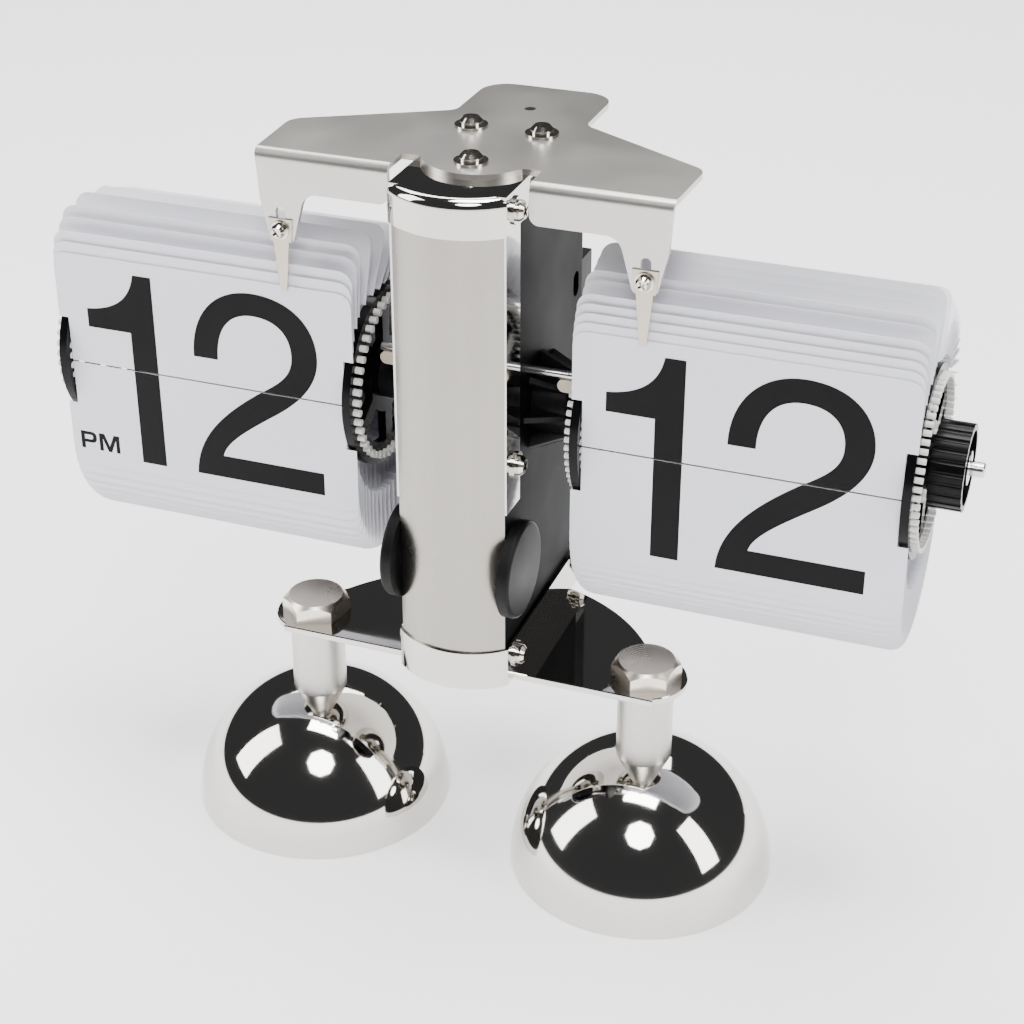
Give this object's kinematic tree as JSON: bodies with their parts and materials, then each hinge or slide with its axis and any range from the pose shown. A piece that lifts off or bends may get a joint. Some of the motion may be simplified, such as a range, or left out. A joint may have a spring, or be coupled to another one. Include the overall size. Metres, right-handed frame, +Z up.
{
  "type": "flip number clock",
  "caption": "Mechanical flip clock: two drums of number leaves on one axle, a chrome column and two bell-shaped feet.",
  "frame": {"origin": "on the ground plane below the middle of the object; the drums' axle is at y = 0, z = 104 mm", "axes": "+Z up, +X to the right seen from the front along the axle, the number leaves face -Y"},
  "size_m": [0.204, 0.0772, 0.1594],
  "materials": {
    "mirror_chrome": "polished",
    "brushed_nickel": "vertically brushed",
    "satin_nickel": "satin",
    "warm_nickel": "satin, slightly golden",
    "bright_nickel": "plated",
    "steel": "ground",
    "black_gloss": "gloss",
    "black_satin": "satin",
    "leaf_white": "satin sheet",
    "tab_white": "satin",
    "tongue_cream": "satin",
    "gear_acetal": "moulded",
    "brass": "stamped",
    "board_green": "solder mask",
    "cell_wrap": "wrapped cell"
  },
  "bodies": {
    "frame": {"base_plate": "mirror_chrome", "bottom_band": "mirror_chrome", "left_bell": "mirror_chrome", "right_bell": "mirror_chrome", "left_stem": "satin_nickel", "right_stem": "satin_nickel", "foot_bolts": "bright_nickel", "foot_washers": "bright_nickel", "foot_nuts": "bright_nickel", "column_cover": "brushed_nickel", "top_cap": "mirror_chrome", "column_channel": "mirror_chrome", "housing": "black_gloss", "gear_plate": "brass", "bearing_bosses": "black_satin", "motor_end_caps": "black_satin", "motor_body": "black_satin", "circuit_board": "board_green", "timing_chip": "black_satin", "battery_case": "black_satin", "battery_cell": "cell_wrap", "battery_contacts": "bright_nickel", "battery_spring": "bright_nickel", "axle": "steel", "axle_clips": "bright_nickel", "gear_pins": "steel", "top_bracket": "satin_nickel", "bracket_screws": "bright_nickel", "side_screws": "bright_nickel", "detent_rods": "steel", "detent_tongues": "tongue_cream", "hour_front_leaves": "leaf_white", "hour_rear_leaves": "leaf_white", "hour_lower_leaves": "leaf_white", "minute_front_leaves": "leaf_white", "minute_rear_leaves": "leaf_white", "minute_lower_leaves": "leaf_white", "catch_screws": "bright_nickel", "hour_leaf_catch": "warm_nickel", "minute_leaf_catch": "warm_nickel"},
    "minute_drum": {"minute_hub": "black_satin", "minute_inner_flange": "black_gloss", "minute_outer_flange": "black_gloss", "minute_leaf_tabs": "tab_white", "set_knob": "black_gloss", "minute_gear": "gear_acetal", "minute_pinion": "gear_acetal"},
    "hour_drum": {"hour_hub": "black_satin", "hour_inner_flange": "black_gloss", "hour_outer_flange": "black_gloss", "hour_leaf_tabs": "tab_white", "hour_end_collar": "black_gloss", "hour_gear": "gear_acetal"},
    "counter_wheel": {"counter_gear": "gear_acetal", "counter_pinion": "gear_acetal"},
    "idler_wheel": {"idler_gear": "gear_acetal"},
    "motor_rotor": {"motor_pinion": "gear_acetal"},
    "minute_flip": {"minute_flip_leaf": "leaf_white"},
    "hour_flip": {"hour_flip_leaf": "leaf_white"},
    "battery_lid": {"battery_door": "black_satin"}
  },
  "joints": [
    {"name": "minute_drum_turn", "type": "hinge", "parent": "frame", "child": "minute_drum", "pos_m": [0, 0, 0.104], "axis": [1, 0, 0], "continuous": true},
    {"name": "hour_drum_turn", "type": "hinge", "parent": "frame", "child": "hour_drum", "pos_m": [0, 0, 0.104], "axis": [1, 0, 0], "continuous": true},
    {"name": "counter_wheel_turn", "type": "hinge", "parent": "frame", "child": "counter_wheel", "pos_m": [0, 0, 0.125], "axis": [1, 0, 0], "continuous": true},
    {"name": "idler_turn", "type": "hinge", "parent": "frame", "child": "idler_wheel", "pos_m": [0, -0.01323, 0.08249], "axis": [1, 0, 0], "continuous": true},
    {"name": "motor_turn", "type": "hinge", "parent": "frame", "child": "motor_rotor", "pos_m": [0, -0.0186, 0.07376], "axis": [1, 0, 0], "continuous": true},
    {"name": "minute_flip_swing", "type": "hinge", "parent": "frame", "child": "minute_flip", "pos_m": [0, -0.01738, 0.10309], "axis": [-1, 0, 0], "range_deg": [0, 150]},
    {"name": "hour_flip_swing", "type": "hinge", "parent": "frame", "child": "hour_flip", "pos_m": [0, -0.01736, 0.10286], "axis": [-1, 0, 0], "range_deg": [0, 150]},
    {"name": "battery_door_slide", "type": "slide", "parent": "frame", "child": "battery_lid", "axis": [0, 0, -1], "range_m": [0, 0.05]}
  ],
  "couplings": [
    {"joint": "hour_drum_turn", "follows": "minute_drum_turn", "ratio": 0.041667},
    {"joint": "counter_wheel_turn", "follows": "minute_drum_turn", "ratio": -0.16667},
    {"joint": "idler_turn", "follows": "minute_drum_turn", "ratio": -2.4828},
    {"joint": "motor_turn", "follows": "minute_drum_turn", "ratio": 6}
  ]
}
